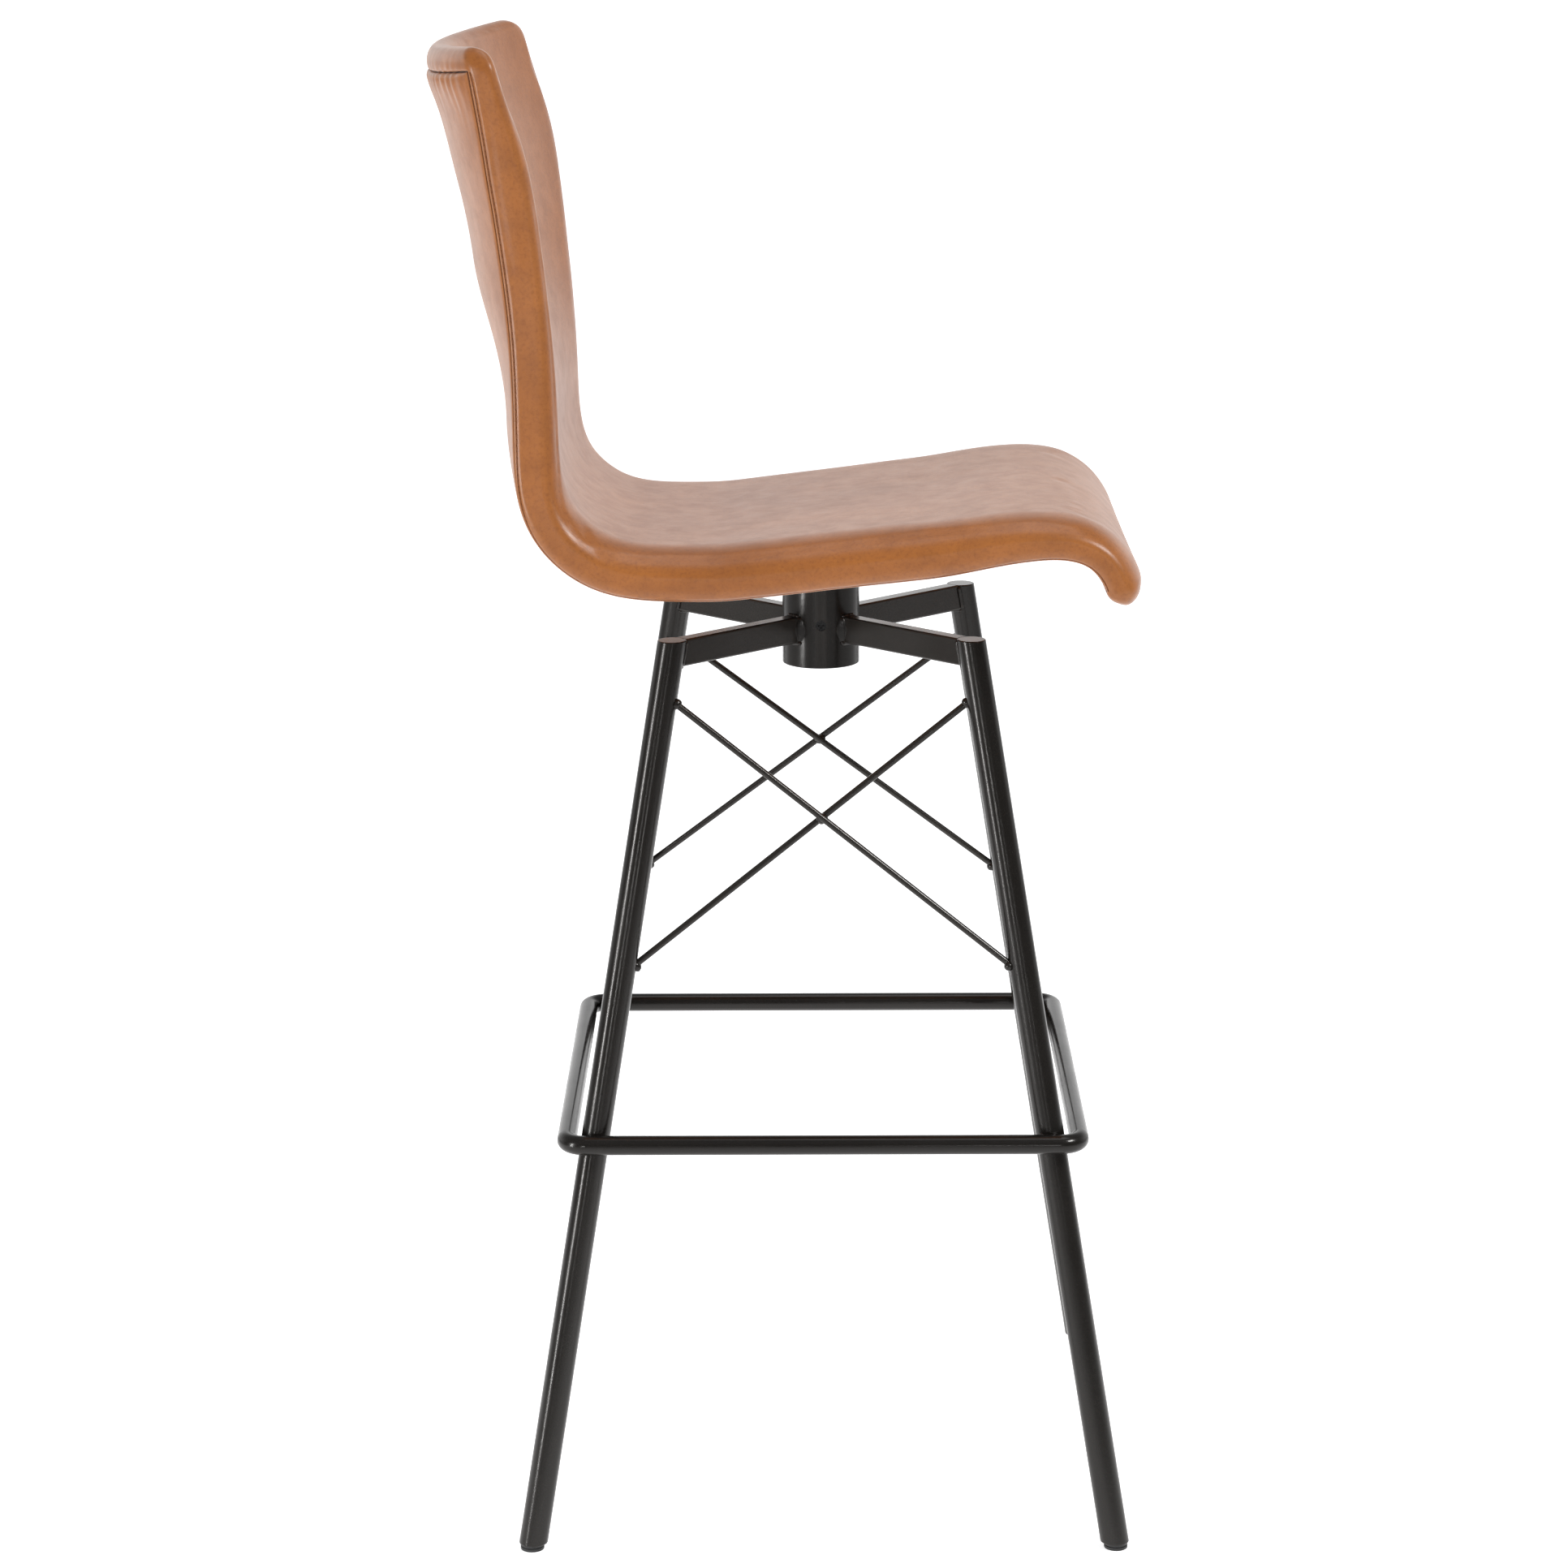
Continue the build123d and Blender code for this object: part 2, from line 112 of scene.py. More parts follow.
ABOVE_SHARE = 0.4           # size of the gathers above the seam against those below
GATHER_EDGE = 6             # mesh columns over which gathers fade at the side seams
STITCH_LENGTH = 3.9
STITCH_PITCH = 4.2
STITCH_RADIUS = 0.38
STITCH_RISE = 0.15          # stitch's middle above the groove's bottom
PLATE_MARGIN = 0.01         # m, the cover is held flat this far round the swivel plate


def spline(points, first, last):
    """Points of a smooth curve through the given ones, with a direction at each end."""
    knots = np.array(points, float)
    runs = np.linalg.norm(np.diff(knots, axis=0), axis=1)
    count = len(knots)
    matrix = np.eye(count)
    slopes = np.zeros((count, 2))
    slopes[0] = np.array(first) / np.linalg.norm(first)
    slopes[-1] = np.array(last) / np.linalg.norm(last)
    for i in range(1, count - 1):
        before, after = runs[i - 1], runs[i]
        matrix[i, i - 1:i + 2] = 1 / before, 2 / before + 2 / after, 1 / after
        rise = (knots[i] - knots[i - 1]) / before**2 + (knots[i + 1] - knots[i]) / after**2
        slopes[i] = 3 * rise
    slopes = np.linalg.solve(matrix, slopes)
    curve = []
    for i, run in enumerate(runs):
        for way in np.linspace(0, 1, 40, endpoint=False):
            curve.append(
                (2 * way**3 - 3 * way**2 + 1) * knots[i]
                + (way**3 - 2 * way**2 + way) * run * slopes[i]
                + (3 * way**2 - 2 * way**3) * knots[i + 1]
                + (way**3 - way**2) * run * slopes[i + 1]
            )
    return curve + [knots[-1]]


def seat_curve():
    """The seat's side line, finely divided, from the back's top to the front edge."""
    level = np.array([math.cos(SEAT_SLOPE), math.sin(SEAT_SLOPE)])
    start = np.array(PLATE_RUN_START)
    end = start + level * PLATE_RUN_LENGTH
    back = spline(BACK_POINTS + [tuple(start)], TOP_HEADING, level)
    front = spline([tuple(end)] + FRONT_POINTS, level, FRONT_HEADING)
    straight = [start + (end - start) * way for way in np.linspace(0, 1, 40)[1:-1]]
    return np.array(back + straight + front)


CURVE = seat_curve()
RUNS = np.concatenate([[0], np.cumsum(np.linalg.norm(np.diff(CURVE, axis=0), axis=1))])
LENGTH = RUNS[-1]
HEADINGS = np.gradient(CURVE, RUNS, axis=0)


def eased(shares, values, share):
    """Value at a share of the path, eased smoothly from each station to the next."""
    for i in range(len(shares) - 1):
        if share <= shares[i + 1]:
            way = (share - shares[i]) / (shares[i + 1] - shares[i])
            return values[i] + (values[i + 1] - values[i]) * way * way * (3 - 2 * way)
    return values[-1]


def size_at(distance):
    """Half width, thickness and hollow at a distance along the seat."""
    share = min(max(distance / LENGTH, 0), 1)
    width = eased(WIDTH_SHARES, HALF_WIDTHS, share)
    thickness = eased(THICKNESS_SHARES, THICKNESSES, share)
    return width, thickness, eased(HOLLOW_SHARES, HOLLOWS, share)


def rounding(distance, radius):
    """Share of full size at a distance inside a quarter-round edge."""
    way = min(max(1 - distance / radius, 0), 1)
    return math.sqrt(max(1 - way * way, 0.0004))


def to_world(distance, across, out):
    """Point of the seat: distance along it, offset across it and out towards the sitter."""
    x, z = (np.interp(distance, RUNS, CURVE[:, i]) for i in (0, 1))
    heading = np.array([np.interp(distance, RUNS, HEADINGS[:, i]) for i in (0, 1)])
    heading /= np.linalg.norm(heading)
    return Vector((x - heading[1] * out + AXIS_X / MM, across, z + heading[0] * out)) * MM


def bezier(a, b, c, d, way):
    """Point at a share of the way along a cubic curve with four control points."""
    rest = 1 - way
    return [
        rest**3 * p + 3 * rest**2 * way * q + 3 * rest * way**2 * r + way**3 * s
        for p, q, r, s in zip(a, b, c, d)
    ]


# Mesh columns from the rear centre line to the front one. The folded edge and the
# stitched groove come right after the side seam.
REAR_PARTS, SIDE_PARTS, FRONT_PARTS = 50, 20, 30
SEAM_COLUMN = REAR_PARTS
RIDGE_COLUMN, GROOVE_COLUMN = SEAM_COLUMN + 1, SEAM_COLUMN + 2
HALF = REAR_PARTS + 4 + SIDE_PARTS + FRONT_PARTS
RING = 2 * HALF
GROOVES = (GROOVE_COLUMN, RING - GROOVE_COLUMN)


def section_parts(distance, inset):
    """Outline of one side, finely divided: rear face, corner and side with roll, front face."""
    width, full, hollow = size_at(distance)
    share = min(max(distance / LENGTH, 0), 1)
    radius = full / 2 - inset
    from_top, from_front = distance - inset, LENGTH - inset - distance
    half_depth = radius * rounding(from_top, radius) * rounding(from_front, radius)
    narrowing = TOP_CORNER * (1 - rounding(from_top, TOP_CORNER))
    narrowing += FRONT_CORNER * (1 - rounding(from_front, FRONT_CORNER))
    side = width - inset - narrowing
    roll = eased(ROLL_SHARES, ROLL_WIDTHS, share) - inset
    corner = eased(CORNER_SHARES, REAR_CORNERS, share) - inset
    shrink = half_depth / radius
    drop = (eased(ROLL_SHARES, ROLL_DEPTHS, share) * full - inset) * shrink
    lift = corner * shrink

    def bow(y):
        return -hollow * (1 - (y / width) ** 2)

    def slope(y):
        return 2 * hollow * y / width**2

    rear_y, front_y = side - corner, side - roll
    low_side, high_side = bow(side) - half_depth + lift, bow(side) + half_depth - drop
    rear_edge, front_edge = bow(rear_y) - half_depth, bow(front_y) + half_depth
    pull = 0.55
    rear = [(rear_y * i / 24, bow(rear_y * i / 24) - half_depth) for i in range(24)]
    turn = [bezier(
        (rear_y, rear_edge),
        (rear_y + pull * corner, rear_edge + pull * corner * slope(rear_y)),
        (side, low_side - pull * lift), (side, low_side), i / 12,
    ) for i in range(12)]
    band = [(side, low_side + (high_side - low_side) * i / 4) for i in range(4)]
    over = [bezier(
        (side, high_side), (side, high_side + pull * drop),
        (front_y + pull * roll, front_edge + pull * roll * slope(front_y)),
        (front_y, front_edge), i / 24,
    ) for i in range(25)]
    front = [(front_y * (1 - i / 24), bow(front_y * (1 - i / 24)) + half_depth) for i in range(25)]
    return np.array(rear + turn[:1]), np.array(turn + band + over), np.array(front), len(turn)


def run_of(line):
    """Distance of each point along a line of points."""
    return np.concatenate([[0], np.cumsum(np.linalg.norm(np.diff(line, axis=0), axis=1))])


def half_section(distance, inset):
    """One side's mesh points: rear centre, side seam, side band, front roll, front centre."""
    rear, side, front, turn_count = section_parts(distance, inset)
    run = run_of(side)
    share = run / run[-1]
    side = side + np.outer(BAND_BULGE * np.sin(math.pi * share) ** 2, (1, 0))
    side_run = run_of(side)
    seam = SEAM_PLACE * side_run[turn_count]
    scale = min(1, (side_run[-1] - seam) / 20)
    behind = np.concatenate([rear, side[1:turn_count]])
    behind_run = run_of(behind)
    columns = []
    seam_total = run_of(rear)[-1] + seam
    for i in range(REAR_PARTS):
        at = seam_total * i / REAR_PARTS
        columns.append([np.interp(at, behind_run, behind[:, k]) for k in (0, 1)])
    places = [seam + place * scale for place in (0, RIDGE_PLACE, GROOVE_PLACE, GROOVE_END)]
    start, end = places[-1], side_run[-1]
    places += [start + (end - start) * i / SIDE_PARTS for i in range(1, SIDE_PARTS)]
    for at in places:
        columns.append([np.interp(at, side_run, side[:, k]) for k in (0, 1)])
    front_run = run_of(front)
    for i in range(FRONT_PARTS + 2):
        at = front_run[-1] * i / (FRONT_PARTS + 1)
        columns.append([np.interp(at, front_run, front[:, k]) for k in (0, 1)])
    return columns


def graded(reach, first=0.12, growth=1.35):
    """Distances from nearly 0 to reach, close together at the start."""
    steps, step = [first], first
    while sum(steps) < reach:
        step = min(step * growth, ROW_STEP)
        steps.append(step)
    spread = np.cumsum(steps)
    return [float(d) * reach / float(spread[-1]) for d in spread]


def seat_rows(inset):
    """Distances of the mesh's rows, and which rows the two cross seams lie on."""
    near = SEAM_ROWS[-1]
    top, front = graded(SEAM_DROP - near - inset), graded(FRONT_TUCK - near - inset)
    start, end = SEAM_DROP + near, LENGTH - FRONT_TUCK - near
    count = round((end - start) / ROW_STEP)
    middle = [start + (end - start) * i / count for i in range(count + 1)]
    beside = [-d for d in reversed(SEAM_ROWS[:-1])] + [0.0] + SEAM_ROWS[:-1]
    rows = [inset + d for d in top] + [SEAM_DROP + d for d in beside] + middle
    rows += [LENGTH - FRONT_TUCK + d for d in beside]
    rows += [LENGTH - inset - d for d in reversed(front)]
    top_row = len(top) + len(SEAM_ROWS) - 1
    return rows, top_row, len(rows) - len(front) - len(SEAM_ROWS)


def end_faces(low, flip):
    """Ladder of faces that closes a thin end ring."""
    rear = [low + i % RING for i in range(-SEAM_COLUMN, SEAM_COLUMN + 1)]
    front = [low + i for i in range(SEAM_COLUMN, RING - SEAM_COLUMN + 1)][::-1]
    made, a, b = [], 0, 0
    last_a, last_b = len(rear) - 1, len(front) - 1
    while a < last_a or b < last_b:
        share_a = (a + 1) / last_a if a < last_a else 2
        share_b = (b + 1) / last_b if b < last_b else 2
        step_a, step_b = share_a <= share_b + 0.002, share_b <= share_a + 0.002
        face = [rear[a]] + ([rear[a + 1]] if step_a else [])
        face += ([front[b + 1]] if step_b else []) + [front[b]]
        a, b = a + step_a, b + step_b
        face = list(dict.fromkeys(face))
        if len(face) > 2:
            made.append(face[::-1] if flip else face)
    return made


def seat_grid(inset):
    """Closed grid of the padded seat: points, their rows' distances, faces by kind."""
    rows, top_row, front_row = seat_rows(inset)
    points = []
    for distance in rows:
        half = half_section(distance, inset)
        ring = half + [[-y, n] for y, n in reversed(half[1:-1])]
        points += [to_world(distance, y, n) for y, n in ring]
    front_faces, back_faces = [], []
    for row in range(len(rows) - 1):
        for column in range(RING):
            after = (column + 1) % RING
            low, high = row * RING, (row + 1) * RING
            face = [low + column, low + after, high + after, high + column]
            behind = column < SEAM_COLUMN or column >= RING - SEAM_COLUMN
            is_back = behind and top_row <= row < front_row
            (back_faces if is_back else front_faces).append(face)
    front_faces += end_faces(0, True) + end_faces((len(rows) - 1) * RING, False)
    return points, rows, top_row, front_row, front_faces, back_faces


def new_piece(name, points, faces):
    mesh = bpy.data.meshes.new(name)
    mesh.from_pydata([tuple(p) for p in points], [], faces)
    mesh.validate()
    mesh.update()
    piece = bpy.data.objects.new(name, mesh)
    bpy.context.scene.collection.objects.link(piece)
    mesh.polygons.foreach_set("use_smooth", [True] * len(mesh.polygons))
    return piece


def outward_faces(piece):
    """The piece with every face turned outward."""
    shape = bmesh.new()
    shape.from_mesh(piece.data)
    bmesh.ops.recalc_face_normals(shape, faces=shape.faces)
    shape.to_mesh(piece.data)
    shape.free()
    return piece


def applied(piece):
    """The piece with its modifiers turned into plain mesh."""
    bpy.context.view_layer.update()
    graph = bpy.context.evaluated_depsgraph_get()
    mesh = bpy.data.meshes.new_from_object(piece.evaluated_get(graph))
    old = piece.data
    piece.modifiers.clear()
    piece.data = mesh
    bpy.data.meshes.remove(old)
    return piece


def normals_of(points, faces):
    """Outward unit normal at each point."""
    found = np.zeros((len(points), 3))
    where = np.array(points)
    for face in faces:
        corners = where[face]
        turn = np.cross(corners[2] - corners[0], corners[-1] - corners[1])
        for index in face:
            found[index] += turn
    return found / np.maximum(np.linalg.norm(found, axis=1), 1e-12)[:, None]


def swell(points, faces, held):
    """Where the points go when padding pushes the cover out, as a cloth simulation."""
    start, outward = np.array(points), normals_of(points, faces)
    scene = bpy.context.scene
    pad = new_piece("swelling", points, faces)
    pad.vertex_groups.new(name="held").add(held, 1.0, "REPLACE")
    cloth = pad.modifiers.new("swell", "CLOTH")
    settings = cloth.settings
    settings.quality = 6
    settings.mass = 0.3
    settings.tension_stiffness = settings.compression_stiffness = 15
    settings.shear_stiffness = 8
    settings.bending_stiffness = 1.5
    settings.use_pressure = True
    settings.uniform_pressure_force = SWELL_PRESSURE
    settings.vertex_group_mass = "held"
    settings.effector_weights.gravity = 0
    cloth.point_cache.frame_start, cloth.point_cache.frame_end = 1, SWELL_FRAMES
    for step in range(1, SWELL_FRAMES + 1):
        scene.frame_set(step)
    graph = bpy.context.evaluated_depsgraph_get()
    swollen = pad.evaluated_get(graph).data
    ends = np.zeros(len(points) * 3)
    swollen.vertices.foreach_get("co", ends)
    rise = np.sum((ends.reshape(-1, 3) - start) * outward, axis=1)
    rise = np.clip(rise, SWELL_LEAST * MM, SWELL_MOST * MM)
    rise[held] = 0
    bpy.data.objects.remove(pad)
    scene.frame_set(1)
    return start + outward * rise[:, None]


def cover(name, points, faces, distances, outward, seam_rings, top_row, front_row):
    """One leather panel: its faces, with the edges at the seams tucked in."""
    used = sorted({i for face in faces for i in face})
    number = {old: new for new, old in enumerate(used)}
    own_points = [points[i].copy() for i in used]
    own_faces = [[number[i] for i in face] for face in faces]
    along = [distances[i // RING] for i in used]
    neighbours = {i: set() for i in used}
    for face in faces:
        for a, b in zip(face, face[1:] + face[:1]):
            neighbours[a].add(b)
            neighbours[b].add(a)
    on_seam = set(seam_rings)
    inner = []
    for i in seam_rings:
        away = [points[j] - points[i] for j in neighbours[i] if j not in on_seam]
        if not away:
            away = [points[k] - points[i] for j in neighbours[i] for k in neighbours[j]]
        towards = np.sum(away, axis=0)
        towards -= outward[i] * np.dot(towards, outward[i])
        inner.append(towards / max(np.linalg.norm(towards), 1e-9))
    tucks = ((0.25, 1.0), (0.2, SEAM_DEPTH))
    previous = [number[i] for i in seam_rings]
    for i, towards in zip(seam_rings, inner):
        own_points[number[i]] = points[i] + (towards * SEAM_GAP - outward[i] * 0.1) * MM
    edge_directions = {}
    for face in own_faces:
        for a, b in zip(face, face[1:] + face[:1]):
            edge_directions[(a, b)] = True
    for gap, depth in tucks:
        ring = []
        for i, towards in zip(seam_rings, inner):
            ring.append(len(own_points))
            own_points.append(points[i] + (towards * gap - outward[i] * depth) * MM)
            along.append(distances[i // RING])
        for k in range(len(ring)):
            after = (k + 1) % len(ring)
            a, b, c, d = previous[k], previous[after], ring[after], ring[k]
            if edge_directions.get((a, b)):
                face = [b, a, d, c]
            elif edge_directions.get((b, a)):
                face = [a, b, c, d]
            else:
                continue
            own_faces.append(face)
            edge_directions[(d, c) if face[0] == b else (c, d)] = True
        previous = ring
    piece = new_piece(name, own_points, own_faces)
    # Painted shade mask: 1 on the seam lines, the tucked-in edges and the stitched grooves. The leather material
    # darkens these places and makes them less shiny.
    painted_seam_shades = [1.0 if i in on_seam or (i % RING in GROOVES and top_row < i // RING < front_row) else 0.0
               for i in used] + [1.0] * (len(own_points) - len(used))
    for title, values in (("along", along), ("painted_seam_shade", painted_seam_shades)):
        piece.data.attributes.new(title, "FLOAT", "POINT").data.foreach_set("value", values)
    smooth = piece.modifiers.new("smooth", "SUBSURF")
    smooth.levels = smooth.render_levels = 1
    return applied(piece)


def ridges(y, seed):
    """Uneven gathers across the back: height from 0 to 1 at an offset from its middle."""
    shift = 2.3 * math.sin(y / 23.0 + seed) + 1.4 * math.sin(y / 9.7 + 2 * seed)
    wave = 0.5 + 0.5 * math.cos(2 * math.pi * (y + shift) / GATHER_PITCH)
    size = 0.7 + 0.3 * math.sin(y / 17.0 + 3 * seed)
    return wave ** 1.6 * size


def gather(where, outward, rows, top_row):
    """Press soft pleats and a puffed edge into the rear face, on both sides of the top seam."""
    for row, distance in enumerate(rows):
        away = distance - SEAM_DROP
        if away > 3 * GATHER_REACH:
            break
        for column in list(range(SEAM_COLUMN + 1)) + list(range(RING - SEAM_COLUMN, RING)):
            i = row * RING + column
            y = where[i][1] / MM
            edge = min(1, abs(SEAM_COLUMN - min(column, RING - column)) / GATHER_EDGE)
            side = 1 if away >= 0 else ABOVE_SHARE
            reach = GATHER_REACH * (0.75 + 0.35 * math.sin(y / 13.0 + 0.7)) * side
            fade = math.exp(-((abs(away) / reach) ** 1.5))
            height = GATHER_HEIGHT * side
            rise = (ridges(y, 0.7) - 0.45) * height * fade
            puff = PUFF_BELOW if away > 0 else PUFF_ABOVE
            length = PUFF_REACH if away > 0 else PUFF_REACH_ABOVE
            share = abs(away) / PUFF_EDGE
            rise += puff * (1 - math.exp(-share)) * math.exp(-((abs(away) / length) ** 2))
            rise *= edge
            if row == top_row:
                rise -= SEAM_PRESS
            where[i] += outward[i] * rise * MM


def make_covers():
    """Both leather covers, swollen and gathered, with what the stitches need to know."""
    points, rows, top_row, front_row, front_faces, back_faces = seat_grid(START_INSET)
    faces = front_faces + back_faces
    seam_loop = [top_row * RING + c % RING for c in range(-SEAM_COLUMN, SEAM_COLUMN + 1)]
    seam_loop += [r * RING + SEAM_COLUMN for r in range(top_row + 1, front_row + 1)]
    seam_loop += [front_row * RING + c % RING for c in range(SEAM_COLUMN - 1, -SEAM_COLUMN - 1, -1)]
    seam_loop += [r * RING - SEAM_COLUMN + RING for r in range(front_row - 1, top_row, -1)]
    plate_low, plate_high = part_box("swivel_plate")
    held = set(seam_loop)
    for i, point in enumerate(points):
        column = i % RING
        behind = column < REAR_PARTS - 3 or column > RING - REAR_PARTS + 3
        over_plate = plate_low.x - PLATE_MARGIN < point.x < plate_high.x + PLATE_MARGIN
        if behind and over_plate and abs(point.y) < plate_high.y + PLATE_MARGIN:
            held.add(i)
    where = swell(points, faces, sorted(held))
    outward = normals_of(where, faces)
    for row in range(top_row, front_row + 1):
        to_end = min(rows[row] - rows[top_row], rows[front_row] - rows[row])
        fade = min(1, to_end / SEAM_FADE)
        for column, rise in ((RIDGE_COLUMN, RIDGE_RISE), (GROOVE_COLUMN, -GROOVE_DEPTH)):
            for c in (column, RING - column):
                where[row * RING + c] += outward[row * RING + c] * rise * fade * MM
    gather(where, outward, rows, top_row)
    shared = rows, outward, seam_loop, top_row, front_row
    front = cover("front_cover_leather", where, front_faces, *shared)
    back = cover("back_cover_leather", where, back_faces, *shared)
    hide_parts("front_cover", "seat_foam")
    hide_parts("back_cover", "rear_foam")
    for piece in (front, back):
        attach(piece, "seat")
    return front, back, where, outward, top_row, front_row


def capsules(name, centres, directions, length, radius, sides=6):
    """Many small rounded rods, such as stitches, in one mesh."""
    points, faces = [], []
    profile = ((-0.5, 0.0), (-0.42, 0.75), (-0.2, 1.0), (0.2, 1.0), (0.42, 0.75), (0.5, 0.0))
    for centre, direction in zip(centres, directions):
        along = Vector(direction).normalized()
        side = along.orthogonal().normalized()
        over = along.cross(side)
        base = len(points)
        for share, size in profile[1:-1]:
            for k in range(sides):
                turn = 2 * math.pi * k / sides
                offset = (side * math.cos(turn) + over * math.sin(turn)) * radius * size
                points.append(Vector(centre) + along * length * share + offset)
        for ring in range(3):
            for k in range(sides):
                after = (k + 1) % sides
                low, high = base + ring * sides, base + (ring + 1) * sides
                faces.append([low + k, low + after, high + after, high + k])
        for share, ring, turned in ((-0.5, 0, True), (0.5, 3, False)):
            tip = len(points)
            points.append(Vector(centre) + along * length * share)
            for k in range(sides):
                a, b = base + ring * sides + k, base + ring * sides + (k + 1) % sides
                faces.append([b, a, tip] if turned else [a, b, tip])
    return new_piece(name, points, faces)


def make_stitches(where, outward, top_row, front_row):
    """Stitches in the groove beside each side seam."""
    centres, directions = [], []
    for column in (GROOVE_COLUMN, RING - GROOVE_COLUMN):
        chain = [r * RING + column for r in range(top_row + 2, front_row - 1)]
        line = np.array([where[i] + outward[i] * STITCH_RISE * MM for i in chain])
        run = np.concatenate([[0], np.cumsum(np.linalg.norm(np.diff(line, axis=0), axis=1))])
        for k in range(int(run[-1] / (STITCH_PITCH * MM))):
            at = (k + 0.5) * STITCH_PITCH * MM
            ends = [np.array([np.interp(d, run, line[:, i]) for i in range(3)])
                    for d in (at - 0.001, at + 0.001)]
            centres.append(Vector((ends[0] + ends[1]) / 2))
            directions.append(Vector(ends[1] - ends[0]))
    thread = capsules("side_seam_stitches", centres, directions, STITCH_LENGTH * MM, STITCH_RADIUS * MM)
    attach(thread, "seat")
    return thread


# ---- welds (m) ----------------------------------------------------------------

CORNERS = (("front_left", 1, 1), ("rear_left", -1, 1), ("rear_right", -1, -1), ("front_right", 1, -1))
LEG_RADIUS = 0.0105
ARM_HALF = 0.006            # half of an arm's thickness
BEAD_STEP, BEAD_SIDES = 0.0006, 10
BEAD_LIFT = 0.0002          # how far a bead's middle stands off the steel
HUB_BEAD = 0.00155          # bead radii
UNDER_BEAD = 0.00217
LEG_BEAD = 0.00155
RING_BEAD = 0.0016
UNDER_OVERHANG = 0.0015     # the bead under an arm is this much wider on each side
LEG_BEAD_INSET = 0.001      # from the arm's upper and lower edge
LEG_BEAD_OFFSET = 0.0003
LEG_BEAD_DROP = 0.0004
FILLET = 0.005              # reach of the hollow fillets beside the arms
FILLET_ROOT = 0.001         # how far their inner edge lies inside the steel
FILLET_ROWS, FILLET_STEPS = 16, 10
FILLET_END = 0.55           # size of a fillet's ends against its middle
BLOB_SIDES, BLOB_RINGS = 14, 9
ROD_WELD_INSET = 0.0005
ROD_WELD_LENGTH, ROD_WELD_RADIUS = 0.0075, 0.0041
CROSSING_LENGTH, CROSSING_RADIUS = 0.0095, 0.0040
RING_WELD_REACH = 0.0065    # half of the length of a footrest weld
RING_WELD_RISE = 0.0024     # its two beads above and below the bar's middle
RING_WELD_BOW = 0.0004


def tube_faces(base, rings, sides):
    """Faces round a stack of rings of points, closed at both ends."""
    faces = []
    for k in range(rings - 1):
        low, high = base + k * sides, base + (k + 1) * sides
        for j in range(sides):
            after = (j + 1) % sides
            faces.append([low + j, low + after, high + after, high + j])
    faces.append([base + j for j in range(sides)][::-1])
    faces.append([base + (rings - 1) * sides + j for j in range(sides)])
    return faces


def weld_piece(name, points, faces):
    """A welded-on piece of the base."""
    piece = outward_faces(new_piece(name, points, faces))
    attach(piece, "base")
    return piece


def bead(lines, name, radius):
    """Slightly uneven weld beads along lines of points, in one mesh."""
    points, faces = [], []
    for number, line in enumerate(lines):
        knots = np.array([tuple(p) for p in line])
        run = run_of(knots)
        count = max(6, int(run[-1] / BEAD_STEP))
        base = len(points)
        for k in range(count + 1):
            at = run[-1] * k / count
            here, ahead, behind = (
                Vector([np.interp(d, run, knots[:, i]) for i in range(3)])
                for d in (at, min(at + 1e-4, run[-1]), max(at - 1e-4, 0))
            )
            along = (ahead - behind).normalized()
            side = along.orthogonal().normalized()
            over = along.cross(side)
            end = min(1, math.sqrt(max(min(at, run[-1] - at), 0) / (radius * 1.2)) + 0.15)
            ripple = 1 + 0.01 * math.sin(at * 4200 + number) + 0.03 * math.sin(at * 530 + 2.3 * number)
            for j in range(BEAD_SIDES):
                turn = 2 * math.pi * j / BEAD_SIDES
                size = radius * end * ripple
                points.append(here + (side * math.cos(turn) + over * math.sin(turn)) * size)
        faces += tube_faces(base, count + 1, BEAD_SIDES)
    return weld_piece(name, points, faces)


def blob(name, centres, directions, length, radius):
    """Small rounded lumps of weld in one mesh, each along a direction."""
    points, faces = [], []
    for number, (centre, direction) in enumerate(zip(centres, directions)):
        along = Vector(direction).normalized()
        side = along.orthogonal().normalized()
        over = along.cross(side)
        base = len(points)
        for k in range(BLOB_RINGS):
            way = -1 + 2 * (k + 0.5) / BLOB_RINGS
            size = radius * math.sqrt(max(1 - way * way, 0))
            for j in range(BLOB_SIDES):
                turn = 2 * math.pi * j / BLOB_SIDES
                lump = 1 + 0.07 * math.sin(3 * turn + number) + 0.05 * math.sin(5 * turn + 2 * number + k)
                offset = (side * math.cos(turn) + over * math.sin(turn)) * size * lump
                points.append(Vector(centre) + along * length / 2 * way + offset)
        faces += tube_faces(base, BLOB_RINGS, BLOB_SIDES)
    return weld_piece(name, points, faces)


def leg_centre(corner, sx, sy, z):
    """Middle of a leg at a height, from the extent of the leg."""
    low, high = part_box(f"leg_{corner}")
    top = Vector(((low.x if sx > 0 else high.x) + sx * LEG_RADIUS,
                  (low.y if sy > 0 else high.y) + sy * LEG_RADIUS, high.z))
    foot = Vector(((high.x if sx > 0 else low.x) - sx * LEG_RADIUS,
                   (high.y if sy > 0 else low.y) - sy * LEG_RADIUS, low.z))
    return foot.lerp(top, (z - foot.z) / (top.z - foot.z))


def arm_frame(corner, sx, sy):
    """Directions along and across an arm seen from above, and its lowest and highest height."""
    low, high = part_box(f"arm_{corner}")
    way = Vector((sx, sy, 0)).normalized()
    return way, Vector((-way.y, way.x, 0)), low.z, high.z


